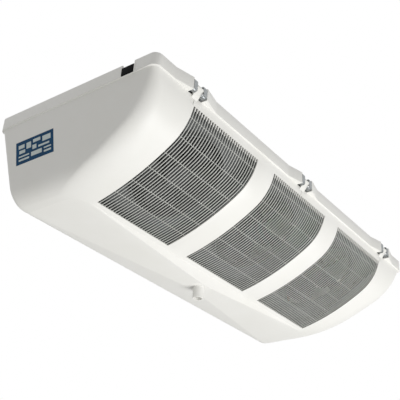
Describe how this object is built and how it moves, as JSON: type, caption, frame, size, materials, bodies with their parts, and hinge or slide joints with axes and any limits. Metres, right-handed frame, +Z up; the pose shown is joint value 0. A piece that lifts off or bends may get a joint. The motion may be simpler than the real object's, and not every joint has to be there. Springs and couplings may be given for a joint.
{
  "type": "walk-in unit cooler",
  "caption": "Ceiling-hung angled unit cooler: white moulded casing with slatted air grilles, hinged at the front over a finned coil, motors and fans, with a drain tray.",
  "frame": {"origin": "centre of the ceiling face, between the four hanging bolts", "axes": "+X along the cooler's length, the air grilles face -Y and down, +Z up into the ceiling"},
  "size_m": [1.092, 0.4555, 0.251],
  "materials": {
    "white_plastic": "smooth moulded white",
    "grille_plastic": "smooth moulded white",
    "zinc": "zinc-plated sheet",
    "galvanised": "galvanised sheet",
    "deck_paint": "half matt dark paint",
    "aluminium_fin": "plain thin fins",
    "copper": "bare copper tube",
    "motor_metal": "black enamelled",
    "fan_plastic": "satin black",
    "black_rubber": "matt black",
    "grey_plastic": "fine texture",
    "screw_steel": "stainless"
  },
  "bodies": {
    "frame": {"top_plate": "galvanised", "hinge_bracket_left": "zinc", "hinge_bracket_middle": "zinc", "hinge_bracket_right": "zinc", "hinge_pins": "screw_steel", "fin_pack": "aluminium_fin", "end_sheet_left": "galvanised", "end_sheet_right": "galvanised", "return_bends": "copper", "suction_header": "copper", "liquid_header": "copper", "fan_deck": "deck_paint", "motor_strap_left": "deck_paint", "motor_strap_middle": "deck_paint", "motor_strap_right": "deck_paint", "motor_left": "motor_metal", "motor_middle": "motor_metal", "motor_right": "motor_metal", "terminal_box": "grey_plastic", "terminal_lid": "grey_plastic", "cable_gland": "grey_plastic"},
    "casing": {"casing": "white_plastic", "grille_bars_left": "grille_plastic", "grille_bars_middle": "grille_plastic", "grille_bars_right": "grille_plastic", "drain_spigot": "white_plastic", "cable_grommet": "black_rubber", "rear_screw_left": "screw_steel", "rear_screw_right": "screw_steel"},
    "fan_left": {"fan_left": "fan_plastic"},
    "fan_middle": {"fan_middle": "fan_plastic"},
    "fan_right": {"fan_right": "fan_plastic"}
  },
  "joints": [
    {"name": "casing_hinge", "type": "hinge", "parent": "frame", "child": "casing", "pos_m": [0, -0.226, -0.014], "axis": [-1, 0, 0], "range_deg": [0, 75]},
    {"name": "fan_left_spin", "type": "hinge", "parent": "frame", "child": "fan_left", "pos_m": [-0.2986, -0.081, -0.102], "axis": [0, -0.5446, -0.8387], "continuous": true},
    {"name": "fan_middle_spin", "type": "hinge", "parent": "frame", "child": "fan_middle", "pos_m": [0, -0.081, -0.102], "axis": [0, -0.5446, -0.8387], "continuous": true},
    {"name": "fan_right_spin", "type": "hinge", "parent": "frame", "child": "fan_right", "pos_m": [0.2986, -0.081, -0.102], "axis": [0, -0.5446, -0.8387], "continuous": true}
  ]
}
